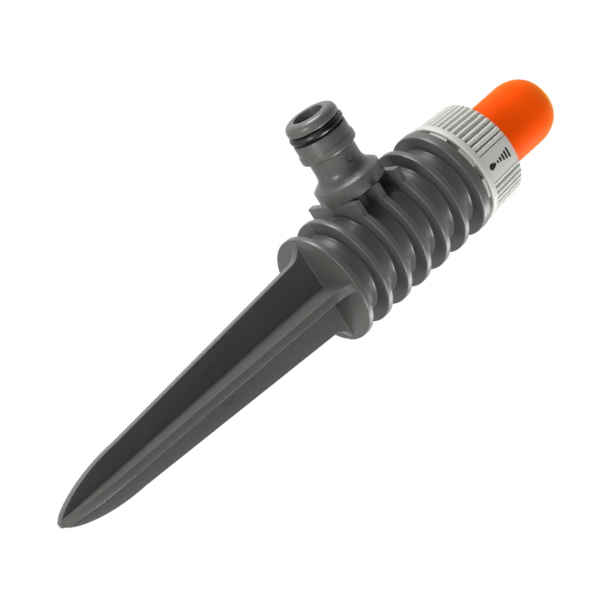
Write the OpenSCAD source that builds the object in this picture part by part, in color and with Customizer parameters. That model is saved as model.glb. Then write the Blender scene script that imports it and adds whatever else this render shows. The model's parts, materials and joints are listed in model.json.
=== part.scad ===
// Ground-spike sprinkler with a slowly turning domed head.
// Water enters by the side inlet, drives a turbine, passes round a sealed gear case and leaves by the nozzle
// in the head. The grey collar holds the head down and is turned by hand to throttle the flow.
// Frame: origin on the barrel axis at the ground side of the lowest rib, +Z up towards the head,
// inlet pointing to -X.

/* [Spike] */
// Length of the spike below the lowest rib
spike_len = 104.9; // [95:0.1:115]
// Reach of the fins from the axis, extended up to the lowest rib
spike_top_r = 12.1; // [11.5:0.1:12.5]
// Loss of reach for each millimetre down the spike
spike_taper = 0.0605; // [0.055:0.0005:0.065]
// Length of the curved point at the end of the spike
point_len = 26.6; // [22:0.1:30]
// Thickness of each of the four fins
fin_t = 2.6; // [2.2:0.1:3]

/* [Barrel] */
// Outer radius of the barrel between the ribs
barrel_r = 12.68; // [12.5:0.01:13]
// Radius of the ribs
rib_r = 17; // [16.8:0.1:17.2]
// Thickness of a rib
rib_t = 2; // [1.8:0.1:2.2]
// Distance from one rib to the next
rib_pitch = 8.28; // [8.2:0.01:8.35]
// Radius of the bore that holds the drive cartridge
bore_r = 10.9; // [10.88:0.01:10.92]
// Top of the barrel's neck, where the port plate rests
neck_top = 60; // [59.9:0.1:60.1]

/* [Inlet] */
// Radius over the inlet's sealing ring
seal_r = 8.41; // [8.3:0.01:8.5]
// Thickness of the sealing ring's section
seal_t = 2.6; // [2.5:0.05:2.65]
// Radius of the inlet's mouth
mouth_r = 4.61; // [4.5:0.01:4.7]
// Distance of the inlet's end from the barrel axis
inlet_reach = 41.5; // [41:0.1:42]

/* [Collar] */
// Radius of the collar at its lower edge
collar_r = 16.65; // [16.5:0.01:16.8]
// Radius of the collar at its upper edge
collar_top_r = 15.83; // [15.7:0.01:16]
// Top of the collar
collar_top = 68.64; // [68.5:0.01:69]
// Grip grooves that would go once round the collar
grooves_per_turn = 50; // [46:1:52]
// Hand turn of the collar from open to closed, degrees
throttle_turn = 60; // [50:1:62]

/* [Head] */
// Outer radius of the domed head
head_r = 10.18; // [10:0.01:10.2]
// Height of the top of the dome
head_top = 94.8; // [93:0.1:96]
// Wall thickness of the head
head_wall = 1.7; // [1.5:0.1:1.9]
// Upward tilt of the jet, degrees
jet_tilt = 25; // [20:1:30]
// Radius of the nozzle's outlet
jet_r = 1.35; // [1:0.05:1.6]

/* [Gears] */
// Gear module
gear_module = 0.3; // [0.29:0.005:0.3]
// Teeth on each driving pinion
pinion_teeth = 8; // [8:1:8]
// Teeth on each driven gear
wheel_teeth = 22; // [20:1:22]

/* [Hidden] */
$fn = 96;

body_grey = "#5a5856";
collar_grey = "#c5c6c0";
head_orange = "#ee4a10";
seal_black = "#1c1c1e";
drive_white = "#d8d6cc";
drive_black = "#3a3a3c";
steel = "#a9adb2";
brass = "#b89a5a";

cut = 0.5;              // how far a cutting shape runs past the face it cuts
snug = 0.02;            // gap between pieces that are pressed together
running = 0.05;         // gap round a part that turns in a bearing
free_gap = 0.3;         // gap between parts that turn past each other

// Barrel heights, up from the ground side of the lowest rib
rib_count = 7;
rib_edge = 0.35;
root_fillet = 0.5;
top_rim = 52.8;
floor_t = 2.6;
chamber_r = 9.9;
ledge_z = 36;
neck_r = 13.2;
bead_r = 13.9;
bead_z = [58.3, 59.5];
seal_groove = [55.2, 57];
seal_groove_r = 11.9;

// Spike outline
point_r = spike_top_r - spike_taper * (spike_len - point_len);
point_power = 0.75;
point_steps = 14;
tip_r = 0.65;
flare_r = (rib_r - spike_top_r) / (1 - spike_taper);
mark_r = 2;
mark_deep = 0.15;
mark_x = 4.1;
mark_z = -43.8;

// Inlet stations, measured out from the barrel axis
inlet_z = 3 * rib_pitch + rib_t / 2;
inlet_root = 10.5;
stem_r = 6.2;
plate_top = 16.6;
plate_half = 11.7;
collar_foot = 16.6;
foot_r = 10.2;
foot_top = 20.8;
throat_r = 7.1;
throat = 24.8;
bead = [29.3, 32.2];
bead_out = 8.6;
land_r = 8.2;
groove = [35.5, 38.4];
nose_r = 8;
nose_round = 1.9;
seat = 24;
inlet_bore_r = 3.9;
strainer_r = 4.1;
mouth_floor = 35.2;
seal_mid_r = seal_r - seal_t / 2;
seal_mid = (groove[0] + groove[1]) / 2;

// Collar heights
collar_z = 54.44;
lug_z = 53;
lug_r = [14.2, 16.1];
window_count = 9;
window_turn = 17;
window_start = -92.3;
band_h = 2.1;
groove_r = 0.42;
pad_angle = -88;
pad_turn = 15;
collar_bore = 13.5;
bead_relief = [57.9, neck_top];
bead_relief_r = 14.1;
hood_r = 13.6;
hood_top = 66.4;
hood_hole = 10.5;
key_r = 14.05;
key_w = 3;
key_count = 3;

// Ports through which water passes to the head
port_count = 3;
port_turn = 50;
port_r = [9.3, 10.75];
plate_t = 1.2;
disc_z = neck_top + plate_t + 0.15;
disc_t = 1.1;
stop_r = 6.2;
stop_pin_r = 0.6;
stop_deep = 0.8;
rib_w = 2.2;

// Head heights
flange_z = disc_z + disc_t + free_gap;
flange_t = 1.6;
flange_r = 13.3;
washer_t = 0.6;
dome_z = 85.9;
head_bore = head_r - head_wall;
jet_z = 76;
boss_r = 3.7;
boss_in = 4.4;
insert_r = 2.5;
insert_span = [5, 10.4];

// Drive cartridge heights
stator_t = 1.6;
wheel_z = [38.6, 42.6];
wheel_r = 8.2;
hub_r = 1.9;
blade_count = 9;
case_z = 43.4;
case_floor = 1.4;
case_r = 9.2;
case_bore = 8.3;
level = [45.4, 48.4, 51.4];
face = 2.6;
plug_z = 55;
shaft_r = 0.8;
shaft_tip_r = 0.5;
pin_r = 0.5;
gear_hub_r = 0.9;
spindle_r = 1.6;
bush_r = 1.9;

// Gear geometry: the pinions are corrected so that eight teeth run clear of each other
pressure = 20;
correction = 0.4;
backlash = 0.03;
gear_spacing = gear_module * (pinion_teeth + wheel_teeth) / 2;
pinion_tip = gear_module * (pinion_teeth / 2 + 1 + correction) - 0.06;
wheel_tip = gear_module * (wheel_teeth / 2 + 0.9 - correction);
near_axis = [gear_spacing, 0];
far_axis = gear_spacing * [cos(60), sin(60)];
first_phase = mesh_turn(0, 0);
second_phase = mesh_turn(first_phase, 120);
output_phase = mesh_turn(second_phase, -120);

// Turn of a wheel that meshes with a pinion lying in the direction line_angle from the pinion
function mesh_turn(pinion_turn, line_angle) =
    line_angle + 180 - (180 - pinion_teeth * (line_angle - pinion_turn)) / wheel_teeth;

// Points of an arc about a centre
function arc(centre, r, from, to, steps = 8) =
    [for (i = [0:steps]) let (a = from + (to - from) * i / steps) centre + r * [cos(a), sin(a)]];

// Involute of an angle, in degrees
function involute(a) = tan(a) * 180 / PI - a;

// Half the angle that a tooth fills at radius r
function tooth_half(teeth, shift, r) =
    let (pitch_r = gear_module * teeth / 2)
    let (thick = gear_module * (PI / 2 + 2 * shift * tan(pressure)) - backlash)
    let (base_r = pitch_r * cos(pressure))
    thick / pitch_r / 2 * 180 / PI + involute(pressure) - involute(acos(min(1, base_r / r)));

// Outline of one tooth from its root on one side to its root on the other
function tooth_points(teeth, shift, tip_r, turn, steps = 5) =
    let (root_r = gear_module * (teeth / 2 - 1.25 + shift))
    let (low_r = max(root_r, gear_module * teeth / 2 * cos(pressure)))
    let (radii = concat([root_r], [for (i = [0:steps]) low_r + (tip_r - low_r) * i / steps]))
    let (side = [for (r = radii) [r, tooth_half(teeth, shift, max(r, low_r))]])
    concat(
        [for (p = side) p[0] * [cos(turn - p[1]), sin(turn - p[1])]],
        [for (i = [len(side) - 1:-1:0]) side[i][0] * [cos(turn + side[i][1]), sin(turn + side[i][1])]]
    );

// A spur gear whose first tooth points along +X
module spur(teeth, shift, tip_r, height) {
    linear_extrude(height)
        polygon([for (k = [0:teeth - 1]) each tooth_points(teeth, shift, tip_r, 360 * k / teeth)]);
}

module pinion(height) { spur(pinion_teeth, correction, pinion_tip, height); }
module wheel(height) { spur(wheel_teeth, -correction, wheel_tip, height); }

// A tube between two heights
module tube(r_out, r_in, z0, z1) {
    translate([0, 0, z0]) difference() {
        cylinder(r = r_out, h = z1 - z0);
        translate([0, 0, -cut]) cylinder(r = r_in, h = z1 - z0 + 2 * cut);
    }
}

// A wedge of the full circle, from angle a0 to a1, between two radii and two heights
module sector(a0, a1, r_in, r_out, z0, z1) {
    translate([0, 0, z0]) linear_extrude(z1 - z0)
        polygon(concat(arc([0, 0], r_out, a0, a1, 12), arc([0, 0], r_in, a1, a0, 12)));
}

// Puts a shape drawn up the Z axis along the inlet, at the inlet's height
module along_inlet() { translate([0, 0, inlet_z]) rotate([0, -90, 0]) children(); }

// ---- Body: spike, ribbed barrel and inlet are one moulding ----

// Curve of the spike's point, down to its end, with the reach widened by extra
function point_curve(extra) = [for (i = [0:point_steps])
    let (u = i / point_steps)
    [extra + point_r * pow(1 - u * u, point_power), -spike_len + point_len * (1 - u)]];

module fin() {
    outline = concat(
        [[0, cut], [rib_r, cut], [rib_r, 0]],
        arc([rib_r, -flare_r], flare_r, 90, 180),
        point_curve(0)
    );
    rotate([90, 0, 0]) translate([0, 0, -fin_t / 2]) linear_extrude(fin_t) polygon(outline);
}

// Round envelope that brings the four fins to one blunt point
module point_envelope() {
    rotate_extrude() polygon(concat(
        [[0, 2 * cut], [2 * rib_r, 2 * cut], [2 * rib_r, point_len - spike_len]],
        point_curve(tip_r),
        [[0, -spike_len]]
    ));
}

module ejector_mark(x) {
    translate([x, -fin_t / 2 + mark_deep, mark_z]) rotate([90, 0, 0]) cylinder(r = mark_r, h = 1);
}

module spike() {
    difference() {
        intersection() {
            for (a = [0, 90, 180, 270]) rotate(a) fin();
            point_envelope();
        }
        ejector_mark(mark_x);
        ejector_mark(-mark_x);
    }
}

// One rib with rounded rim and filleted roots
module rib(z0, z1) {
    rotate_extrude() polygon(concat(
        [[barrel_r - 1, z0 - root_fillet]],
        arc([barrel_r + root_fillet, z0 - root_fillet], root_fillet, 180, 90, 4),
        arc([rib_r - rib_edge, z0 + rib_edge], rib_edge, -90, 0, 4),
        arc([rib_r - rib_edge, z1 - rib_edge], rib_edge, 0, 90, 4),
        arc([barrel_r + root_fillet, z1 + root_fillet], root_fillet, 270, 180, 4),
        [[barrel_r - 1, z1 + root_fillet]]
    ));
}

// The lowest rib is flat underneath, where the spike joins it
module ground_rib() {
    rotate_extrude() polygon(concat(
        [[0, 0]],
        arc([rib_r - rib_edge, rib_edge], rib_edge, -90, 0, 4),
        arc([rib_r - rib_edge, rib_t - rib_edge], rib_edge, 0, 90, 4),
        arc([barrel_r + root_fillet, rib_t + root_fillet], root_fillet, 270, 180, 4),
        [[0, rib_t + root_fillet]]
    ));
}

// The highest rib is a wide rim, flat on top, where the collar sits
module top_rib() {
    rotate_extrude() polygon(concat(
        [[barrel_r - 1, (rib_count - 1) * rib_pitch - root_fillet]],
        arc([barrel_r + root_fillet, (rib_count - 1) * rib_pitch - root_fillet], root_fillet, 180, 90, 4),
        arc([rib_r - rib_edge, (rib_count - 1) * rib_pitch + rib_edge], rib_edge, -90, 0, 4),
        arc([rib_r - rib_edge, top_rim - rib_edge], rib_edge, 0, 90, 4),
        [[barrel_r - 1, top_rim]]
    ));
}

// A flat-topped plate that carries the inlet's foot on the side of a rib
module inlet_plate(z0) {
    translate([-plate_top, -plate_half, z0]) cube([plate_top, 2 * plate_half, rib_t]);
}

// The neck above the top rib, with the collar's snap bead and its seal groove
module neck() {
    rotate_extrude() polygon([
        [chamber_r, top_rim - 1], [neck_r, top_rim - 1],
        [neck_r, seal_groove[0]], [seal_groove_r, seal_groove[0]],
        [seal_groove_r, seal_groove[1]], [neck_r, seal_groove[1]],
        [neck_r, bead_z[0]], [bead_r, bead_z[0]],
        [bead_r, bead_z[1] - 0.5], [neck_r, bead_z[1]],
        [neck_r, neck_top], [chamber_r, neck_top]
    ]);
}

module inlet_outline() {
    polygon(concat(
        [[0, inlet_root], [stem_r, inlet_root], [stem_r, collar_foot], [foot_r, collar_foot]],
        arc([foot_r - rib_edge, foot_top - rib_edge], rib_edge, 0, 60, 3),
        arc([throat_r + 3.6, throat], 3.6, 245, 180, 6),
        [[throat_r, bead[0]]],
        arc([bead_out - 0.6, bead[0] + 0.9], 0.6, -60, 0, 3),
        arc([bead_out - 0.6, bead[1] - 0.9], 0.6, 0, 45, 3),
        [[land_r, bead[1]], [land_r, groove[0]], [seal_mid_r - seal_t / 2, groove[0]]],
        [[seal_mid_r - seal_t / 2, groove[1]], [nose_r, groove[1]]],
        arc([nose_r - nose_round, inlet_reach - nose_round], nose_round, 0, 90, 6),
        [[mouth_r + 0.3, inlet_reach], [mouth_r, inlet_reach - 0.3], [0, inlet_reach - 0.3]]
    ));
}

module spike_body() {
    color(body_grey) difference() {
        union() {
            spike();
            ground_rib();
            translate([0, 0, 1]) cylinder(r = barrel_r, h = top_rim - 1);
            for (i = [1:rib_count - 2]) rib(i * rib_pitch, i * rib_pitch + rib_t);
            top_rib();
            neck();
            for (i = [2:4]) inlet_plate(i * rib_pitch);
            along_inlet() rotate_extrude() inlet_outline();
        }
        translate([0, 0, floor_t]) cylinder(r = chamber_r, h = neck_top);
        translate([0, 0, ledge_z]) cylinder(r = bore_r, h = neck_top);
        along_inlet() cylinder(r = inlet_bore_r, h = inlet_reach);
        along_inlet() translate([0, 0, seat]) cylinder(r = strainer_r, h = inlet_reach);
        along_inlet() translate([0, 0, mouth_floor]) cylinder(r = mouth_r, h = inlet_reach);
    }
}

// ---- Inlet fittings ----

module inlet_o_ring() {
    color(seal_black) along_inlet() translate([0, 0, seal_mid])
        rotate_extrude() translate([seal_mid_r + 0.01, 0]) circle(r = seal_t / 2 - 0.01, $fn = 48);
}

// A slotted thimble that catches grit, rim outwards
module inlet_strainer() {
    rim = [34, 35];
    cage_r = 3.4;
    color(drive_white) along_inlet() difference() {
        union() {
            tube(strainer_r - snug, 2.8, rim[0], rim[1]);
            tube(cage_r, 2.8, seat + 1.2, rim[0]);
            translate([0, 0, seat + 0.4]) cylinder(r = cage_r, h = 0.8);
        }
        for (a = [0:45:315]) rotate(a)
            translate([2, -0.4, seat + 2]) cube([3, 0.8, rim[0] - seat - 3]);
    }
}

// ---- Turbine ----

// Fixed plate whose slanted slots turn the water onto the turbine
module stator_plate() {
    slot_count = 6;
    color(drive_white) translate([0, 0, ledge_z]) difference() {
        union() {
            cylinder(r = bore_r - running, h = stator_t);
            translate([0, 0, -0.6]) cylinder(r = 2.2, h = stator_t + 1.1);
        }
        translate([0, 0, -2]) cylinder(r = shaft_r + running, h = 6);
        for (a = [0:360 / slot_count:359]) rotate(a)
            translate([6, 0, stator_t / 2]) rotate([40, 0, 0]) cube([4, 1.2, 6], center = true);
    }
}

module turbine_wheel() {
    mid = (wheel_z[0] + wheel_z[1]) / 2;
    color(drive_black) difference() {
        union() {
            translate([0, 0, wheel_z[0]]) cylinder(r = hub_r, h = wheel_z[1] - wheel_z[0]);
            intersection() {
                for (a = [0:360 / blade_count:359]) rotate(a)
                    translate([wheel_r / 2 + 0.5, 0, mid]) rotate([-50, 0, 0])
                        cube([wheel_r - 1, 7, 0.8], center = true);
                translate([0, 0, wheel_z[0]]) cylinder(r = wheel_r, h = wheel_z[1] - wheel_z[0]);
            }
        }
        translate([0, 0, wheel_z[0] - cut]) cylinder(r = shaft_r, h = wheel_z[1] - wheel_z[0] + 2 * cut);
    }
}

module turbine_shaft() {
    color(steel) {
        translate([0, 0, ledge_z - 0.6]) cylinder(r = shaft_r, h = level[0] - ledge_z + 0.4);
        translate([0, 0, level[0] - 1]) cylinder(r = shaft_tip_r, h = face + 1);
    }
}

module shaft_bush() {
    color(brass) {
        tube(bush_r, shaft_r + running, case_z, case_z + case_floor);
        tube(bush_r + 0.7, shaft_r + running, case_z - 0.5, case_z);
    }
}

module turbine_pinion() {
    color(brass) translate([0, 0, level[0]]) difference() {
        pinion(face);
        translate([0, 0, -cut]) cylinder(r = shaft_tip_r, h = face + 2 * cut);
    }
}

// ---- Gear case ----

module at(axis) { translate([axis[0], axis[1], 0]) children(); }

// Sealed cup for the gears, centred in the barrel by three ribs that stand on the stator
module gear_case() {
    color(drive_black) difference() {
        union() {
            translate([0, 0, case_z]) cylinder(r = case_r, h = neck_top - case_z);
            for (a = [0:120:240]) rotate(a)
                translate([case_r - 0.4, -rib_w / 2, ledge_z + stator_t])
                    cube([1.9, rib_w, neck_top - ledge_z - stator_t]);
        }
        translate([0, 0, case_z + case_floor]) cylinder(r = case_bore, h = neck_top);
        translate([0, 0, case_z - cut]) cylinder(r = bush_r + snug, h = case_floor + 2 * cut);
        at(near_axis) translate([0, 0, case_z + 0.6]) cylinder(r = pin_r + snug, h = 2);
        at(far_axis) translate([0, 0, case_z + 0.6]) cylinder(r = pin_r + snug, h = 2);
    }
}

module gear_pin(axis) {
    color(steel) at(axis) translate([0, 0, case_z + 0.6]) cylinder(r = pin_r, h = plug_z + 0.6 - case_z);
}

module gear_pin_near() { gear_pin(near_axis); }
module gear_pin_far() { gear_pin(far_axis); }

// A wheel with a pinion on top and hubs that keep it at its height on the pin
module double_gear(low, turn, foot, head) {
    rotate(turn) difference() {
        union() {
            translate([0, 0, low]) wheel(face);
            translate([0, 0, low + face]) pinion(level[1] - level[0]);
            translate([0, 0, foot]) cylinder(r = gear_hub_r, h = head - foot);
        }
        translate([0, 0, foot - cut]) cylinder(r = pin_r + running, h = head - foot + 2 * cut);
    }
}

module first_gear() {
    color(drive_white) at(near_axis)
        double_gear(level[0], first_phase, case_z + case_floor + 0.2, plug_z - 0.2);
}

module second_gear() {
    color(drive_white) at(far_axis)
        double_gear(level[1], second_phase, case_z + case_floor + 0.2, plug_z - 0.2);
}

module output_gear() {
    color(drive_white) translate([0, 0, level[2]]) rotate(output_phase) difference() {
        union() {
            wheel(face);
            translate([0, 0, face]) cylinder(r = 2.4, h = plug_z - level[2] - face - 0.2);
        }
        translate([0, 0, -cut]) cylinder(r = spindle_r - 0.4, h = 2 * face);
    }
}

// Shaft that carries the last gear's turn up to the head, with a six-sided top
module output_spindle() {
    color(steel) {
        translate([0, 0, level[2]]) cylinder(r = spindle_r - 0.4, h = plug_z - level[2]);
        translate([0, 0, plug_z - 0.2]) cylinder(r = spindle_r, h = flange_z - plug_z);
        translate([0, 0, flange_z - 0.4]) cylinder(r = spindle_r, h = 2.6, $fn = 6);
    }
}

module spindle_seal() {
    color(seal_black) translate([0, 0, neck_top + plate_t - 1])
        rotate_extrude() translate([spindle_r + 0.06 + 0.55, 0]) circle(r = 0.55, $fn = 32);
}

// Lid of the gear case and seat of the throttle, clamped on top of the neck
module port_plate() {
    color(drive_black) difference() {
        union() {
            translate([0, 0, neck_top]) cylinder(r = neck_r, h = plate_t);
            translate([0, 0, plug_z]) cylinder(r = case_bore - snug, h = neck_top - plug_z + 0.1);
        }
        for (k = [0:port_count - 1]) let (mid = 60 + k * 120)
            sector(mid - port_turn / 2, mid + port_turn / 2, port_r[0], port_r[1],
                neck_top - cut, neck_top + plate_t + cut);
        translate([0, 0, plug_z - cut]) cylinder(r = spindle_r + running, h = 8);
        translate([0, 0, neck_top + plate_t - 1.6]) cylinder(r = 2.8, h = 2);
        at(near_axis) translate([0, 0, plug_z - cut]) cylinder(r = pin_r + snug, h = cut + 1.4);
        at(far_axis) translate([0, 0, plug_z - cut]) cylinder(r = pin_r + snug, h = cut + 1.4);
        sector(-8, throttle_turn + 8, stop_r - 0.8, stop_r + 0.8,
            neck_top + plate_t - stop_deep - 0.2, neck_top + plate_t + cut);
    }
}

// ---- Collar: held by the bead on the neck, turned by hand ----

module collar_seal() {
    section = (collar_bore - seal_groove_r) / 2 - running;
    color(seal_black) translate([0, 0, (seal_groove[0] + seal_groove[1]) / 2])
        rotate_extrude() translate([seal_groove_r + section, 0]) circle(r = section, $fn = 32);
}

module collar_outside() {
    rotate_extrude() polygon(concat(
        [[0, collar_z]],
        arc([collar_r - 0.5, collar_z + 0.5], 0.5, -90, 0, 4),
        arc([collar_top_r - 0.9, collar_top - 0.9], 0.9, 5, 90, 5),
        [[0, collar_top]]
    ));
}

// Lugs under the collar's edge, with a window between each two
module collar_lugs() {
    difference() {
        tube(lug_r[1], lug_r[0], lug_z, collar_z + 0.3);
        for (k = [0:window_count - 1]) let (mid = window_start + k * 360 / window_count)
            sector(mid - window_turn / 2, mid + window_turn / 2, lug_r[0] - 1, lug_r[1] + 1,
                lug_z - 1, collar_z);
    }
}

// One grip groove, leaning in with the collar's side, open at the top
module grip_groove(turn) {
    low = collar_z + band_h;
    lean = atan((collar_r - collar_top_r) / (collar_top - collar_z));
    rotate(turn) translate([collar_r - tan(lean) * band_h, 0, low]) rotate([0, -lean, 0])
        cylinder(r = groove_r, h = collar_top - low + 1);
}

module collar_ring() {
    pitch = 360 / grooves_per_turn;
    first = pad_angle + pad_turn + 0.5;
    color(collar_grey) difference() {
        union() {
            collar_outside();
            collar_lugs();
        }
        for (turn = [first:pitch:first + 360 - 2 * pad_turn - 1]) grip_groove(turn);
        translate([0, 0, lug_z - 1]) cylinder(r = collar_bore, h = hood_top - lug_z);
        translate([0, 0, bead_relief[0]]) cylinder(r = bead_relief_r, h = bead_relief[1] - bead_relief[0]);
        translate([0, 0, bead_relief[0]]) cylinder(r = hood_r, h = hood_top - bead_relief[0]);
        translate([0, 0, hood_top - cut]) cylinder(r = hood_hole, h = 5);
        for (k = [0:key_count - 1]) rotate(k * 360 / key_count)
            translate([10, -key_w / 2, neck_top - cut])
                cube([key_r - 10, key_w, disc_z + disc_t + 0.2 - neck_top + cut]);
    }
}

// Disc keyed to the collar: its ports line up with the port plate's when open
module throttle_disc() {
    color(drive_white) translate([0, 0, disc_z]) difference() {
        union() {
            cylinder(r = hood_r - free_gap, h = disc_t);
            for (k = [0:key_count - 1]) rotate(k * 360 / key_count)
                translate([10, -key_w / 2 + 0.1, 0]) cube([key_r - 10.1, key_w - 0.2, disc_t]);
            translate([stop_r, 0, -stop_deep]) cylinder(r = stop_pin_r, h = stop_deep + cut);
        }
        for (k = [0:port_count - 1]) let (mid = 60 + k * 120)
            sector(mid - port_turn / 2, mid + port_turn / 2, port_r[0], port_r[1], -cut, disc_t + cut);
        translate([0, 0, -cut]) cylinder(r = spindle_r + 0.6, h = 3);
    }
}

// Lip seal between the collar's hood and the head
module head_seal() {
    low = flange_z + flange_t + washer_t + 0.1;
    lip_r = head_r + running;
    color(seal_black) rotate_extrude() polygon([
        [lip_r, low], [lip_r + 0.9, low], [lip_r + 1.1, hood_top - 0.6], [hood_r - 1, hood_top - 0.6],
        [hood_r - 0.9, low], [hood_r - snug, low], [hood_r - snug, hood_top], [lip_r, hood_top]
    ]);
}

// ---- Head ----

module thrust_washer() {
    color(drive_white)
        tube(flange_r, head_r + snug, flange_z + flange_t, flange_z + flange_t + washer_t);
}

module along_jet() { translate([0, 0, jet_z]) rotate([jet_tilt - 90, 0, 0]) children(); }

// A straight-sided round with a blunt domed top
module dome(r, low, top) {
    rotate_extrude() polygon(concat(
        [[0, low], [r, low]],
        [for (a = [0:5:90]) [r * pow(cos(a), 0.56), dome_z + (top - dome_z) * pow(sin(a), 1.11)]]
    ));
}

module nozzle_head() {
    color(head_orange) difference() {
        union() {
            difference() {
                union() {
                    dome(head_r, flange_z, head_top);
                    translate([0, 0, flange_z]) cylinder(r = flange_r, h = flange_t);
                }
                dome(head_bore, flange_z - cut, head_top - head_wall);
            }
            intersection() {
                along_jet() translate([0, 0, boss_in]) cylinder(r = boss_r, h = 10);
                dome(head_r - 0.5, flange_z, head_top - 0.5);
            }
        }
        along_jet() translate([0, 0, boss_in - 1]) cylinder(r = insert_r + snug, h = 12);
    }
}

// Spoked hub pressed into the foot of the head, driven by the spindle's six-sided top
module drive_hub() {
    low = flange_z;
    tall = 2.4;
    color(drive_white) difference() {
        union() {
            tube(head_bore - snug, head_bore - 1.2, low, low + tall);
            translate([0, 0, low]) cylinder(r = 3.2, h = tall);
            for (a = [0:120:240]) rotate(a)
                translate([2.5, -0.8, low]) cube([head_bore - 3.2, 1.6, tall]);
        }
        translate([0, 0, low - cut]) cylinder(r = spindle_r + snug, h = tall + 2 * cut, $fn = 6);
    }
}

// Small ring that seals the nozzle insert in its boss
module nozzle_boss_seal() {
    color(seal_black) along_jet() translate([0, 0, insert_span[0] + 1.3])
        rotate_extrude() translate([insert_r - 0.38, 0]) circle(r = 0.36, $fn = 24);
}

module nozzle_insert() {
    color(drive_black) along_jet() difference() {
        translate([0, 0, insert_span[0]]) cylinder(r = insert_r, h = insert_span[1] - insert_span[0]);
        translate([0, 0, insert_span[0] - cut]) cylinder(r = jet_r, h = 10);
        translate([0, 0, insert_span[0] - cut]) rotate_extrude() polygon([
            [0, 0], [insert_r - 0.9, 0], [jet_r, 3.6], [0, 3.6]
        ]);
        tube(insert_r + 1, insert_r - 0.76, insert_span[0] + 0.9, insert_span[0] + 1.7);
    }
}

spike_body();
inlet_o_ring();
inlet_strainer();
stator_plate();
turbine_wheel();
turbine_shaft();
shaft_bush();
turbine_pinion();
gear_case();
gear_pin_near();
gear_pin_far();
first_gear();
second_gear();
output_gear();
output_spindle();
spindle_seal();
port_plate();
collar_seal();
collar_ring();
throttle_disc();
head_seal();
thrust_washer();
drive_hub();
nozzle_head();
nozzle_boss_seal();
nozzle_insert();
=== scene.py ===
import json
import math

import bpy
from mathutils import Matrix, Vector


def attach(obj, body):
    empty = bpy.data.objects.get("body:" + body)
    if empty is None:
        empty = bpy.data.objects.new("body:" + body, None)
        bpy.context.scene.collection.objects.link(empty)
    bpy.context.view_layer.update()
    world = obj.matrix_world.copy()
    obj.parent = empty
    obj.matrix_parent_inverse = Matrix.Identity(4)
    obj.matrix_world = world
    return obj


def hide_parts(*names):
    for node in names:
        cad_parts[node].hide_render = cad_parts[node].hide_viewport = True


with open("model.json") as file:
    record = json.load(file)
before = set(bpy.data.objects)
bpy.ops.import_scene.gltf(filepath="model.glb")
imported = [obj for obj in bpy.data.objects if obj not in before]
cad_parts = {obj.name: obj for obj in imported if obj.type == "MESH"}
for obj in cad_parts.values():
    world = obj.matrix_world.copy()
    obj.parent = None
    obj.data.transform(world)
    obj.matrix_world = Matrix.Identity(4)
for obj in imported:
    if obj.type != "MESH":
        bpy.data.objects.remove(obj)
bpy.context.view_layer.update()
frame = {"nodes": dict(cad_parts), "record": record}


# ---- Camera ----
# It looks up at the sprinkler from below and from the spike's open side, rolled so that the spike
# points down to the left.

def mm(*lengths):
    """Lengths in millimetres as Blender's metres."""
    return tuple(length / 1000 for length in lengths)


lens = bpy.data.cameras.new("camera")
lens.sensor_width = 36
lens.lens = 201.7
camera = bpy.data.objects.new("camera", lens)
bpy.context.collection.objects.link(camera)
view_back = Vector((-0.2963, -0.8330, -0.4671)).normalized()
view_right = Vector((0.5116, -0.5514, 0.6590))
view_right = (view_right - view_right.dot(view_back) * view_back).normalized()
view_up = view_back.cross(view_right)
camera.matrix_world = (Matrix.Translation(Vector(mm(-276.6, -771.1, -440.1)))
                       @ Matrix((view_right, view_up, view_back)).transposed().to_4x4())
bpy.context.scene.camera = camera


# ---- Floor and light ----
# A plain pale floor well below the sprinkler, a white studio all round it that is dim on the camera's
# side, and four soft boxes: two low ones to the left and right, one towards the ground, one behind.

def colour(code):
    """An sRGB hex colour as linear red, green, blue and alpha."""
    parts = [int(code[i:i + 2], 16) / 255 for i in (1, 3, 5)]
    return tuple(p / 12.92 if p <= 0.04045 else ((p + 0.055) / 1.055) ** 2.4 for p in parts) + (1,)


def add(tree, kind, inputs=None, **settings):
    """Adds a node, with its settings, and sets or links its inputs."""
    node = tree.nodes.new(kind)
    for name, value in settings.items():
        setattr(node, name, value)
    for name, value in (inputs or {}).items():
        if isinstance(value, bpy.types.NodeSocket):
            tree.links.new(value, node.inputs[name])
        else:
            node.inputs[name].default_value = value
    return node


def deselect():
    bpy.ops.object.select_all(action="DESELECT")


def new_material(name):
    """A material with its own tree and a Principled shader linked to its output."""
    material = bpy.data.materials.new(name)
    material.use_nodes = True
    shader = material.node_tree.nodes["Principled BSDF"]
    return material, material.node_tree, shader


world = bpy.data.worlds.new("studio")
bpy.context.scene.world = world
world.use_nodes = True
tree = world.node_tree
tree.nodes.clear()
direction = add(tree, "ShaderNodeTexCoord").outputs["Generated"]
away = add(tree, "ShaderNodeVectorMath", {0: direction, 1: (0.25, 0.9, 0.35)}, operation="DOT_PRODUCT")
level = add(tree, "ShaderNodeMapRange",
            {"Value": away.outputs["Value"], "From Min": -0.5, "From Max": 0.4,
             "To Min": 0.06, "To Max": 0.9},
            interpolation_type="SMOOTHSTEP")
around = add(tree, "ShaderNodeBackground", {"Color": colour("#ffffff"), "Strength": level.outputs["Result"]})
seen = add(tree, "ShaderNodeBackground", {"Color": colour("#ffffff"), "Strength": 1.0})
ray = add(tree, "ShaderNodeLightPath").outputs["Is Camera Ray"]
mixed = add(tree, "ShaderNodeMixShader", {0: ray, 1: around.outputs[0], 2: seen.outputs[0]})
add(tree, "ShaderNodeOutputWorld", {"Surface": mixed.outputs[0]})

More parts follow.
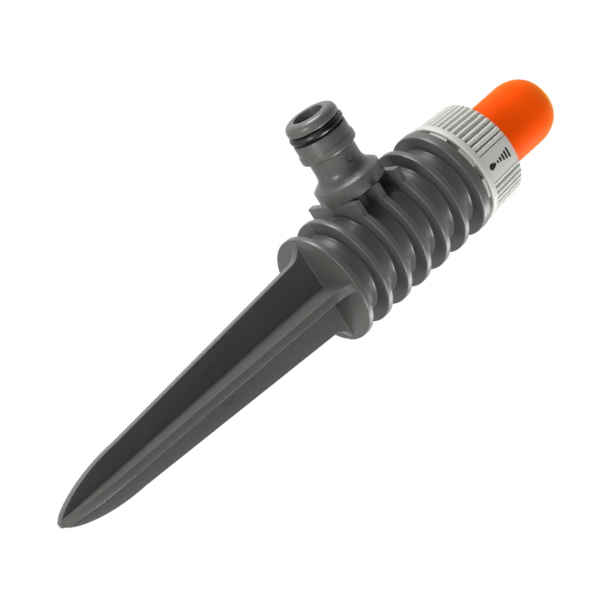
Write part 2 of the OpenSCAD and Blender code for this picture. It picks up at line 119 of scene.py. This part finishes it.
deselect()
bpy.ops.mesh.primitive_plane_add(size=8, location=(0, 0, -0.9))
floor = bpy.context.object
floor.name = "floor"
bpy.ops.object.transform_apply(location=True, rotation=False, scale=False)
paper, tree, shader = new_material("studio paper")
grain = add(tree, "ShaderNodeTexNoise", {"Scale": 40.0, "Detail": 4.0})
rough = add(tree, "ShaderNodeMapRange", {"Value": grain.outputs[0], "To Min": 0.85, "To Max": 0.95})
tree.links.new(rough.outputs[0], shader.inputs["Roughness"])
shader.inputs["Base Color"].default_value = colour("#f4f3f0")
floor.data.materials.append(paper)


def soft_box(name, place, aim, size, power):
    """A square area light at a place, in mm, that faces a point."""
    light = bpy.data.lights.new(name, "AREA")
    light.size = size / 1000
    light.energy = power
    lamp = bpy.data.objects.new(name, light)
    bpy.context.collection.objects.link(lamp)
    place, aim = Vector(mm(*place)), Vector(mm(*aim))
    turned_to = (place - aim).to_track_quat("Z", "Y").to_matrix().to_4x4()
    lamp.matrix_world = Matrix.Translation(place) @ turned_to
    lamp.visible_camera = False


soft_box("inlet side", (-900, 110, 120), (0, 0, 0), 420, 9)
soft_box("far side", (700, -500, -40), (0, 0, 20), 300, 6.5)
soft_box("ground side", (-340, -280, -850), (0, 0, 20), 200, 3)
soft_box("rim", (850, 0, 430), (0, 0, 20), 400, 3)


# ---- Moulded body ----
# Spike, ribbed barrel, plates and hose inlet are one piece, injection moulded in dark grey
# glass-filled polypropylene. The mould parts along the plane through the barrel and the inlet, and
# its line shows across the ribs and the plates.

def arc(centre, radius, start, end, steps=4):
    """Points round a centre, from one angle to another, in degrees."""
    turns = [math.radians(start + (end - start) * i / steps) for i in range(steps + 1)]
    return [(centre[0] + radius * math.cos(a), centre[1] + radius * math.sin(a)) for a in turns]


def pick(mesh, test):
    """Selects the vertices whose place, in mm, passes a test. Used in edit mode with vertex select."""
    bpy.ops.mesh.select_all(action="DESELECT")
    bpy.ops.object.mode_set(mode="OBJECT")
    for vertex in mesh.vertices:
        vertex.select = bool(test(vertex.co * 1000))
    bpy.ops.object.mode_set(mode="EDIT")


def spun(name, points, steps=128, centre=(0, 0, 0), axis=(0, 0, 1)):
    """A line of points, in mm, drawn from one vertex and spun a full turn about an axis."""
    deselect()
    bpy.ops.mesh.primitive_plane_add(size=0.001, location=mm(*points[0]))
    piece = bpy.context.object
    piece.name = name
    bpy.ops.object.transform_apply(location=True)
    bpy.ops.object.mode_set(mode="EDIT")
    bpy.ops.mesh.select_mode(type="VERT")
    bpy.ops.mesh.select_all(action="SELECT")
    bpy.ops.mesh.merge(type="CENTER")
    for here, there in zip(points, points[1:]):
        step = mm(*(t - h for h, t in zip(here, there)))
        bpy.ops.mesh.extrude_region_move(TRANSFORM_OT_translate={"value": step})
    bpy.ops.mesh.select_all(action="SELECT")
    bpy.ops.mesh.spin(steps=steps, angle=math.tau, center=mm(*centre), axis=axis)
    bpy.ops.mesh.select_all(action="SELECT")
    bpy.ops.mesh.remove_doubles(threshold=2e-6)
    bpy.ops.mesh.normals_make_consistent(inside=False)
    bpy.ops.object.mode_set(mode="OBJECT")
    return piece


def turned(name, profile, steps=128):
    """A round piece on the barrel's axis, from (radius, height) points in mm."""
    return spun(name, [(r, 0, z) for r, z in profile], steps)


def apply_all(piece):
    """Applies every modifier on a piece."""
    deselect()
    piece.select_set(True)
    bpy.context.view_layer.objects.active = piece
    for modifier in list(piece.modifiers):
        bpy.ops.object.modifier_apply(modifier=modifier.name)


def combine(piece, other, operation):
    """Joins another piece to this one, or cuts it away, and removes the other."""
    modifier = piece.modifiers.new(operation, "BOOLEAN")
    modifier.operation = operation
    modifier.solver = "EXACT"
    modifier.object = other
    apply_all(piece)
    bpy.data.objects.remove(other)


def round_edges(piece, width, segments=2, angle=35):
    """Rounds the edges that turn by more than an angle."""
    modifier = piece.modifiers.new("rounding", "BEVEL")
    modifier.width = width / 1000
    modifier.segments = segments
    modifier.limit_method = "ANGLE"
    modifier.angle_limit = math.radians(angle)
    modifier.use_clamp_overlap = True
    apply_all(piece)


def smooth(piece, angle=30):
    """Smooth shading that keeps edges sharper than an angle."""
    deselect()
    piece.select_set(True)
    bpy.context.view_layer.objects.active = piece
    bpy.ops.object.shade_smooth_by_angle(angle=math.radians(angle))


barrel_r, rib_r, rib_t, rib_pitch, rib_count = 12.68, 17.0, 2.0, 8.28, 7
rim_round, root_round = 0.35, 0.5
top_rim, neck_r, neck_top = 52.8, 13.2, 60.0
seal_groove_r, seal_groove_low, seal_groove_high = 11.9, 55.2, 57.0
snap_bead_r, snap_bead_low, snap_bead_high = 13.9, 58.3, 59.0

barrel_profile = [(0, 0)]
for i in range(rib_count):
    low = i * rib_pitch
    high = low + rib_t if i < rib_count - 1 else top_rim
    if i > 0:
        barrel_profile += arc((barrel_r + root_round, low - root_round), root_round, 180, 90)
    barrel_profile += arc((rib_r - rim_round, low + rim_round), rim_round, -90, 0)
    barrel_profile += arc((rib_r - rim_round, high - rim_round), rim_round, 0, 90)
    if i < rib_count - 1:
        barrel_profile += arc((barrel_r + root_round, high + root_round), root_round, 270, 180)
barrel_profile += [
    (neck_r, top_rim), (neck_r, seal_groove_low), (seal_groove_r, seal_groove_low),
    (seal_groove_r, seal_groove_high), (neck_r, seal_groove_high), (neck_r, snap_bead_low),
    (snap_bead_r, snap_bead_low), (snap_bead_r, snap_bead_high), (neck_r, snap_bead_high + 0.5),
    (neck_r, neck_top), (0, neck_top)]
body = turned("moulded_body", barrel_profile)


def box(low, high, turn=0):
    """A block between two corners, in mm, drawn from a small cube and turned about the barrel's axis."""
    middle = mm(*((a + b) / 2 for a, b in zip(low, high)))
    deselect()
    bpy.ops.mesh.primitive_cube_add(size=0.001, location=middle)
    piece = bpy.context.object
    bpy.ops.object.transform_apply(location=True)
    bpy.ops.object.mode_set(mode="EDIT")
    bpy.ops.mesh.select_all(action="SELECT")
    bpy.ops.transform.resize(value=[b - a for a, b in zip(low, high)], center_override=middle)
    bpy.ops.object.mode_set(mode="OBJECT")
    piece.rotation_euler.z = math.radians(turn)
    bpy.ops.object.transform_apply(rotation=True)
    return piece


# The three plates that carry the inlet's foot, and the mould's line across the ribs and plates
plated_ribs, plate_out, plate_half = (2, 3, 4), 16.6, 11.7
line_half, line_proud = 0.06, 0.07
for i in plated_ribs:
    low = i * rib_pitch
    plate = box((-plate_out, -plate_half, low), (-4, plate_half, low + rib_t))
    round_edges(plate, 0.12)
    combine(body, plate, "UNION")
for i in range(1, rib_count - 1):
    low, high = i * rib_pitch - line_proud, i * rib_pitch + rib_t + line_proud
    out = plate_out + 0.03 if i in plated_ribs else rib_r - 0.1
    combine(body, box((-out, -line_half, low), (-13, line_half, high)), "UNION")

# The spike's two crossing blades, each drawn down from the lowest rib
spike_len, spike_top_r, spike_taper, point_len, fin_t = 104.9, 12.1, 0.0605, 26.6, 2.6
flare_r = (rib_r - spike_top_r) / (1 - spike_taper)
point_r = spike_top_r - spike_taper * (spike_len - point_len)
root_fillet = 0.35
reach = [(rib_r, 0.6), (rib_r, 0)] + arc((rib_r, -flare_r), flare_r, 90, 180, 14)[1:]
for i in range(17):
    u = i / 16
    reach.append((max(point_r * (1 - u * u) ** 0.75, 0.1) + 0.55 * u * u, -spike_len + point_len * (1 - u)))


def half_t(wide, high):
    """Half a fin's thickness: filleted where it meets the rib, slimmer at the very tip."""
    near = max(0, root_fillet + min(high, 0))
    fillet = root_fillet - math.sqrt(root_fillet ** 2 - near ** 2)
    return min(fin_t / 2, wide + 0.3) + fillet


def blade(name, along):
    """Two fins in one plane: an oblong drawn down and narrowed to the spike's point."""
    deselect()
    bpy.ops.mesh.primitive_plane_add(size=0.001, location=mm(0, 0, reach[0][1]))
    piece = bpy.context.object
    piece.name = name
    bpy.ops.object.transform_apply(location=True)
    bpy.ops.object.mode_set(mode="EDIT")
    bpy.ops.mesh.select_mode(type="FACE")
    bpy.ops.mesh.select_all(action="SELECT")
    across = 1 - along
    scale = [1, 1, 1]
    scale[along], scale[across] = 2 * reach[0][0], 2 * half_t(*reach[0])
    bpy.ops.transform.resize(value=scale, center_override=(0, 0, 0))
    for (wide, high), (next_wide, next_high) in zip(reach, reach[1:]):
        bpy.ops.mesh.extrude_region_move(TRANSFORM_OT_translate={"value": mm(0, 0, next_high - high)})
        scale[along] = next_wide / wide
        scale[across] = half_t(next_wide, next_high) / half_t(wide, high)
        bpy.ops.transform.resize(value=scale, center_override=(0, 0, 0))
    bpy.ops.mesh.select_all(action="SELECT")
    bpy.ops.mesh.normals_make_consistent(inside=False)
    bpy.ops.object.mode_set(mode="OBJECT")
    round_edges(piece, 0.3, 3, 40)
    return piece


combine(body, blade("blade", 0), "UNION")
combine(body, blade("blade", 1), "UNION")

# The hose inlet: a flared neck, a bead for the connector's claws, the seal's groove and the nose
inlet_z = 3 * rib_pitch + rib_t / 2
stem_r, throat_r, bead_r, nose_r, nose_end = 7.1, 3.6, 8.6, 8.0, 41.5
groove_r, groove_near, groove_far, mouth_r, bore_step = 5.81, 35.5, 38.4, 4.61, 35.2
throat = arc((stem_r + throat_r, 24.8), throat_r, 245, 180, 10)
inlet_profile = (
    [(0, 10.6), (5.2, 10.6), (5.2, 16.6), (9.95, 16.6)] + arc((9.95, 16.85), 0.25, -60, 0, 2)
    + arc((10.05, 20.65), 0.15, 0, 60) + throat
    + [(stem_r, 29.0)] + arc((bead_r - 0.7, 30.1), 0.7, -55, 0) + arc((bead_r - 0.7, 31.4), 0.7, 0, 55)
    + [(nose_r + 0.2, 32.3), (nose_r + 0.2, 35.3)] + arc((nose_r, 35.3), 0.2, 0, 90, 2)
    + [(groove_r, groove_near), (groove_r, groove_far)] + arc((nose_r - 0.25, 38.65), 0.25, -90, 0, 2)
    + arc((nose_r - 2.0, nose_end - 2.0), 2.0, 0, 90, 8)
    + arc((mouth_r + 0.25, nose_end - 0.25), 0.25, 90, 180, 3) + [(mouth_r, bore_step), (0, bore_step)])
inlet = spun("inlet", [(-d, 0, inlet_z + r) for r, d in inlet_profile], 128, (0, 0, inlet_z), (1, 0, 0))
combine(body, inlet, "UNION")

# What the cores leave open: the chamber for the drive and the inlet's bore
chamber = turned("chamber", [(0, 2.6), (9.9, 2.6), (9.9, 36), (10.9, 36), (10.9, 62), (0, 62)])
combine(body, chamber, "DIFFERENCE")
bore_profile = [(0, 5), (3.9, 5), (3.9, 24), (4.1, 24), (4.1, 35.3), (0, 35.3)]
bore = spun("bore", [(-d, 0, inlet_z + r) for r, d in bore_profile], 96, (0, 0, inlet_z), (1, 0, 0))
combine(body, bore, "DIFFERENCE")


def pin_mark(x, y, z, radius, deep):
    """The shallow round mark that an ejector pin leaves in a wall that faces -Y."""
    deselect()
    bpy.ops.mesh.primitive_cylinder_add(vertices=48, radius=radius / 1000, depth=0.004,
                                        rotation=(math.pi / 2, 0, 0), location=mm(x, y + deep - 2, z))
    mark = bpy.context.object
    bpy.ops.object.transform_apply(location=True, rotation=True)
    combine(body, mark, "DIFFERENCE")


for side in (-1, 1):
    pin_mark(side * 4.1, -fin_t / 2, -43.8, 2.0, 0.08)
pin_mark(-26.4, -7.1, inlet_z + 0.1, 1.6, 0.4)

# The mould's two halves leave a faint edge where they meet on the ribs
bpy.ops.object.mode_set(mode="EDIT")
bpy.ops.mesh.select_mode(type="VERT")
pick(body.data, lambda p: abs(p.y) < 0.01 and math.hypot(p.x, p.y) > barrel_r + 0.45 and 8 < p.z < 46)
bpy.ops.mesh.mark_sharp()
bpy.ops.object.mode_set(mode="OBJECT")
smooth(body, 28)

# Dark grey glass-filled polypropylene: satin, with a fine spark-eroded grain, a little paler where
# the flow of the plastic ends.
polypropylene, tree, shader = new_material("glass-filled polypropylene")
place = add(tree, "ShaderNodeTexCoord").outputs["Object"]
cloud = add(tree, "ShaderNodeTexNoise", {"Vector": place, "Scale": 60.0, "Detail": 3.0})
tone = add(tree, "ShaderNodeMix", {0: cloud.outputs[0], 6: colour("#4e4d4b"), 7: colour("#565553")},
           data_type="RGBA")
tree.links.new(tone.outputs[2], shader.inputs["Base Color"])
grain = add(tree, "ShaderNodeTexNoise", {"Vector": place, "Scale": 2600.0, "Detail": 2.0, "Roughness": 0.6})
rough = add(tree, "ShaderNodeMapRange", {"Value": grain.outputs[0], "To Min": 0.27, "To Max": 0.37})
tree.links.new(rough.outputs[0], shader.inputs["Roughness"])
relief = add(tree, "ShaderNodeBump", {"Height": grain.outputs[0], "Strength": 0.25, "Distance": 0.00006})
tree.links.new(relief.outputs[0], shader.inputs["Normal"])
shader.inputs["IOR"].default_value = 1.55
body.data.materials.append(polypropylene)
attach(body, "body")
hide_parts("spike_body")


# ---- Sealing ring of the inlet ----
# A moulded nitrile ring that sits greased in the inlet's groove, with the thin flash line of its
# mould round the outside.
seal_mid_r, seal_d, seal_section = 7.11, 36.95, 1.28
ring_profile = [(seal_mid_r + (seal_section + (0.02 if i == 0 else 0)) * math.cos(math.tau * i / 32),
                 seal_d + seal_section * math.sin(math.tau * i / 32)) for i in range(33)]
ring = spun("inlet_seal", [(-d, 0, inlet_z + r) for r, d in ring_profile], 128, (0, 0, inlet_z), (1, 0, 0))
smooth(ring, 60)
nitrile, tree, shader = new_material("nitrile rubber")
place = add(tree, "ShaderNodeTexCoord").outputs["Object"]
smear = add(tree, "ShaderNodeTexNoise", {"Vector": place, "Scale": 350.0, "Detail": 4.0})
rough = add(tree, "ShaderNodeMapRange", {"Value": smear.outputs[0], "To Min": 0.24, "To Max": 0.4})
tree.links.new(rough.outputs[0], shader.inputs["Roughness"])
shader.inputs["Base Color"].default_value = colour("#080809")
shader.inputs["IOR"].default_value = 1.52
ring.data.materials.append(nitrile)
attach(ring, "body")
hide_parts("inlet_o_ring")


# ---- Throttle collar ----
# A light grey ABS ring, moulded with grip ridges that stop at a smooth pad, a plain band along its
# lower edge and lugs under it. It snaps over the neck's bead and is turned by hand.
collar_low, collar_high, band_top = 54.44, 68.64, 56.54
collar_r, collar_top_r = 16.65, 15.83
side_low, side_high = 54.94, 67.74
ridge_in = 0.16
slope = (collar_r - collar_top_r) / (side_high - side_low)


def side_r(z):
    """The collar's radius at a height, before its edges are rounded."""
    return collar_r - slope * (z - side_low)


pitch_cells, pitches = 10, 50
collar_profile = (
    [(13.5, collar_low)] + arc((collar_r - 0.5, collar_low + 0.5), 0.5, -90, 0, 5)
    + [(side_r(band_top - 0.12), band_top - 0.12), (side_r(band_top) - 0.04, band_top)]
    + [(side_r(z) - ridge_in, z) for z in (56.62, 56.75, 56.95, 57.3, 59, 61, 63, 65, 66.8)]
    + arc((collar_top_r - ridge_in - 0.9, collar_high - 0.9), 0.9, 5, 90, 8)
    + [(10.5, collar_high), (10.5, 66.4), (13.6, 66.4), (13.6, 60), (14.1, 60), (14.1, 57.9), (13.5, 57.9),
       (13.5, collar_low)])
collar = turned("collar", collar_profile, pitch_cells * pitches)

# Grip ridges: the spaces between them are pushed in, cell by cell, except on the pad
pad_angle, pad_turn = -88.0, 15.0
groove_depths = {0: 0.26, 1: 0.09, 2: 0.02, 4: 0.02, 5: 0.09, 6: 0.26, 7: 0.62, 8: 0.95, 9: 0.62}


def cell_of(place):
    """Which cell of its ridge a point belongs to, or none on the pad."""
    turn = math.degrees(math.atan2(place.y, place.x))
    off = (turn - pad_angle + 180) % 360 - 180
    if abs(off) <= pad_turn:
        return None
    return round((off - pad_turn) / 360 * pitches * pitch_cells) % pitch_cells


bpy.ops.object.mode_set(mode="EDIT")
bpy.ops.mesh.select_mode(type="VERT")
for cell, depth in groove_depths.items():
    for low, high, share in ((56.6, 56.65, 0.25), (56.7, 56.8, 0.7), (56.9, 57.0, 0.93), (57.2, 66.9, 1.0)):
        pick(collar.data, lambda p: low < p.z < high and math.hypot(p.x, p.y) > 15 and cell_of(p) == cell)
        factor = 1 - depth * share / 15.8
        bpy.ops.transform.resize(value=(factor, factor, 1), center_override=(0, 0, 0))
    pick(collar.data, lambda p: 67.5 < p.z and math.hypot(p.x, p.y) > collar_top_r - ridge_in - depth
         and cell_of(p) == cell)
    factor = 1 - depth * 0.6 / 15.3
    bpy.ops.transform.resize(value=(factor, factor, 1), center_override=(0, 0, 0))
bpy.ops.object.mode_set(mode="OBJECT")

# Lugs under the band, with a window between each two, and the slots that drive the throttle disc
lug_profile = [(14.2, 53), (15.55, 53), (15.7, 53.15), (15.7, 54.7), (14.2, 54.7), (14.2, 53)]
lugs = turned("lugs", lug_profile, 126)
window_half, first_window, windows = 15 * math.tan(math.radians(8.5)), -92.3, 9
for k in range(windows):
    turn = first_window + 360 / windows * k
    combine(lugs, box((13, -window_half, 52.9), (17, window_half, collar_low), turn), "DIFFERENCE")
combine(collar, lugs, "UNION")
for k in range(3):
    combine(collar, box((9.95, -1.5, 59.35), (14.05, 1.5, 62.65), 120 * k), "DIFFERENCE")
smooth(collar, 32)

# Light grey ABS: even, satin, with a fine grain that softens its shine.
abs_grey, tree, shader = new_material("light grey ABS")
place = add(tree, "ShaderNodeTexCoord").outputs["Object"]
cloud = add(tree, "ShaderNodeTexNoise", {"Vector": place, "Scale": 90.0, "Detail": 3.0})
tone = add(tree, "ShaderNodeMix", {0: cloud.outputs[0], 6: colour("#b6b7b1"), 7: colour("#bebfb9")},
           data_type="RGBA")
tree.links.new(tone.outputs[2], shader.inputs["Base Color"])
grain = add(tree, "ShaderNodeTexNoise", {"Vector": place, "Scale": 3000.0, "Detail": 2.0})
rough = add(tree, "ShaderNodeMapRange", {"Value": grain.outputs[0], "To Min": 0.38, "To Max": 0.5})
tree.links.new(rough.outputs[0], shader.inputs["Roughness"])
relief = add(tree, "ShaderNodeBump", {"Height": grain.outputs[0], "Strength": 0.12, "Distance": 0.00005})
tree.links.new(relief.outputs[0], shader.inputs["Normal"])
shader.inputs["IOR"].default_value = 1.53
collar.data.materials.append(abs_grey)
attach(collar, "collar")
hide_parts("collar_ring")


# ---- Print on the collar's pad ----
# A drop and a row of bars that grow, pad-printed in black ink to show which way opens the flow. Each
# is a flat shape wrapped round the pad and given the ink's thickness.
def printed(name, piece, outline):
    """Wraps a flat piece round the pad, its points placed by (across the pad, height) in mm."""
    piece.name = name
    for vertex in piece.data.vertices:
        across, z = outline(vertex.co * 1000)
        r = side_r(z) - ridge_in + 0.05
        a = math.radians(pad_angle) + across / r
        vertex.co = mm(r * math.cos(a), r * math.sin(a), z)
    bpy.ops.object.mode_set(mode="EDIT")
    bpy.ops.mesh.select_all(action="SELECT")
    bpy.ops.mesh.normals_make_consistent(inside=False)
    bpy.ops.object.mode_set(mode="OBJECT")
    return piece


deselect()
bpy.ops.mesh.primitive_circle_add(vertices=32, radius=0.001, fill_type="TRIFAN")
drop_z, drop_r, bars_z = 58.3, 0.95, 61
shapes = [printed("drop", bpy.context.object,
                  lambda p: (drop_r * p.x, drop_z + drop_r * p.y + 0.9 * max(0, p.y) ** 3))]
for i in range(5):
    low, bar_half = bars_z + 1.2 * i, 0.4 + 0.28 * i
    deselect()
    bpy.ops.mesh.primitive_grid_add(x_subdivisions=8, y_subdivisions=1, size=0.002)
    shapes.append(printed("bar", bpy.context.object, lambda p: (bar_half * p.x, low + 0.35 * p.y)))
deselect()
for shape in shapes:
    shape.select_set(True)
mark = shapes[0]
bpy.context.view_layer.objects.active = mark
bpy.ops.object.join()
mark.name = "pad_print"
solid = mark.modifiers.new("ink", "SOLIDIFY")
solid.thickness = 0.00003
apply_all(mark)
ink, tree, shader = new_material("black pad-printing ink")
place = add(tree, "ShaderNodeTexCoord").outputs["Object"]
wear = add(tree, "ShaderNodeTexNoise", {"Vector": place, "Scale": 1800.0, "Detail": 3.0})
rough = add(tree, "ShaderNodeMapRange", {"Value": wear.outputs[0], "To Min": 0.35, "To Max": 0.6})
tree.links.new(rough.outputs[0], shader.inputs["Roughness"])
shader.inputs["Base Color"].default_value = colour("#141414")
mark.data.materials.append(ink)
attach(mark, "collar")


# ---- Domed head ----
# A thin-walled cap, injection moulded in orange acetal, with a flange inside the collar and a boss
# that holds the nozzle. It turns slowly on the spindle.
head_r, dome_z, head_top, head_wall = 10.18, 85.9, 94.8, 1.7
flange_low, flange_r = 62.75, 13.3


def dome(r, top, steps):
    """Half the outline of a blunt dome, from its straight side to its top."""
    turns = [math.radians(90 * i / steps) for i in range(steps)]
    side = [(r * math.cos(a) ** 0.56, dome_z + (top - dome_z) * math.sin(a) ** 1.11) for a in turns]
    return side + [(0, top)]


head_profile = (
    [(head_r - head_wall, flange_low), (flange_r - 0.2, flange_low), (flange_r, flange_low + 0.2),
     (flange_r, flange_low + 1.4), (flange_r - 0.2, flange_low + 1.6), (head_r, flange_low + 1.6)]
    + [(head_r, z) for z in (68, 72, 76, 80)] + dome(head_r, head_top, 36)
    + dome(head_r - head_wall, head_top - head_wall, 24)[::-1] + [(head_r - head_wall, flange_low)])
head = turned("domed_head", head_profile, 160)
jet_z, jet_tilt = 76.0, 25.0
jet = Vector((0, math.cos(math.radians(jet_tilt)), math.sin(math.radians(jet_tilt))))
jet_up = Vector((0, -jet.z, jet.y))


def about_jet(profile):
    """Points in mm on a half plane through the nozzle's axis, from (radius, distance) pairs."""
    return [tuple(Vector((0, 0, jet_z)) + jet_up * r + jet * d) for r, d in profile]


boss = spun("boss", about_jet([(0, 4.4), (3.7, 4.4), (3.7, 9.8), (0, 9.8)]), 64, (0, 0, jet_z), tuple(jet))
combine(head, boss, "UNION")
hole = spun("hole", about_jet([(0, 3), (2.52, 3), (2.52, 10.55), (2.75, 10.9), (2.75, 14), (0, 14)]), 64,
            (0, 0, jet_z), tuple(jet))
combine(head, hole, "DIFFERENCE")
smooth(head, 30)

# Orange acetal: even colour, smooth with a soft shine, a trace of light passing into it.
acetal_orange, tree, shader = new_material("orange acetal")
place = add(tree, "ShaderNodeTexCoord").outputs["Object"]
cloud = add(tree, "ShaderNodeTexNoise", {"Vector": place, "Scale": 80.0, "Detail": 2.0})
tone = add(tree, "ShaderNodeMix", {0: cloud.outputs[0], 6: colour("#e94306"), 7: colour("#ec4908")},
           data_type="RGBA")
tree.links.new(tone.outputs[2], shader.inputs["Base Color"])
grain = add(tree, "ShaderNodeTexNoise", {"Vector": place, "Scale": 1500.0, "Detail": 3.0})
rough = add(tree, "ShaderNodeMapRange", {"Value": grain.outputs[0], "To Min": 0.42, "To Max": 0.52})
tree.links.new(rough.outputs[0], shader.inputs["Roughness"])
relief = add(tree, "ShaderNodeBump", {"Height": grain.outputs[0], "Strength": 0.08, "Distance": 0.00004})
tree.links.new(relief.outputs[0], shader.inputs["Normal"])
shader.inputs["IOR"].default_value = 1.15
shader.inputs["Specular Tint"].default_value = colour("#ff6a00")
shader.inputs["Sheen Weight"].default_value = 1.0
shader.inputs["Sheen Roughness"].default_value = 0.45
shader.inputs["Sheen Tint"].default_value = colour("#ffb000")
shader.inputs["Subsurface Weight"].default_value = 0.15
shader.inputs["Subsurface Radius"].default_value = (0.002, 0.0008, 0.0002)
shader.inputs["Subsurface Scale"].default_value = 1.0
head.data.materials.append(acetal_orange)
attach(head, "head")
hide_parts("nozzle_head")


# ---- Inner parts ----
# The strainer, turbine, gears and seals keep their made shapes. They are acetal, steel and brass,
# and show through the inlet and where the collar and the head leave gaps.
def inner_material(name, code, grit, rough_low, rough_high, metallic=0.0, strength=0.1):
    """A plain moulded or machined finish with a fine grain of a given spacing in mm."""
    material, tree, shader = new_material(name)
    place = add(tree, "ShaderNodeTexCoord").outputs["Object"]
    grain = add(tree, "ShaderNodeTexNoise", {"Vector": place, "Scale": 1000 / grit, "Detail": 3.0})
    rough = add(tree, "ShaderNodeMapRange",
                {"Value": grain.outputs[0], "To Min": rough_low, "To Max": rough_high})
    tree.links.new(rough.outputs[0], shader.inputs["Roughness"])
    relief = add(tree, "ShaderNodeBump",
                 {"Height": grain.outputs[0], "Strength": strength, "Distance": 0.00004})
    tree.links.new(relief.outputs[0], shader.inputs["Normal"])
    shader.inputs["Base Color"].default_value = colour(code)
    shader.inputs["Metallic"].default_value = metallic
    return material


finishes = {
    "light_plastic": inner_material("natural acetal", "#dedbd0", 0.4, 0.3, 0.42),
    "dark_plastic": inner_material("dark grey acetal", "#3a3a3c", 0.4, 0.34, 0.46),
    "pin_steel": inner_material("ground stainless steel", "#a9adb2", 0.15, 0.2, 0.34, 1.0),
    "bush_brass": inner_material("turned brass", "#c9a860", 0.2, 0.22, 0.36, 1.0),
    "seal_rubber": nitrile,
}
shown = {"spike_body", "inlet_o_ring", "collar_ring", "nozzle_head"}
for part in frame["record"]["subparts"]:
    if part["node"] not in shown:
        piece = frame["nodes"][part["node"]]
        piece.data.materials.clear()
        piece.data.materials.append(finishes[part["material_slot"]])

bpy.context.scene.view_settings.view_transform = "Standard"
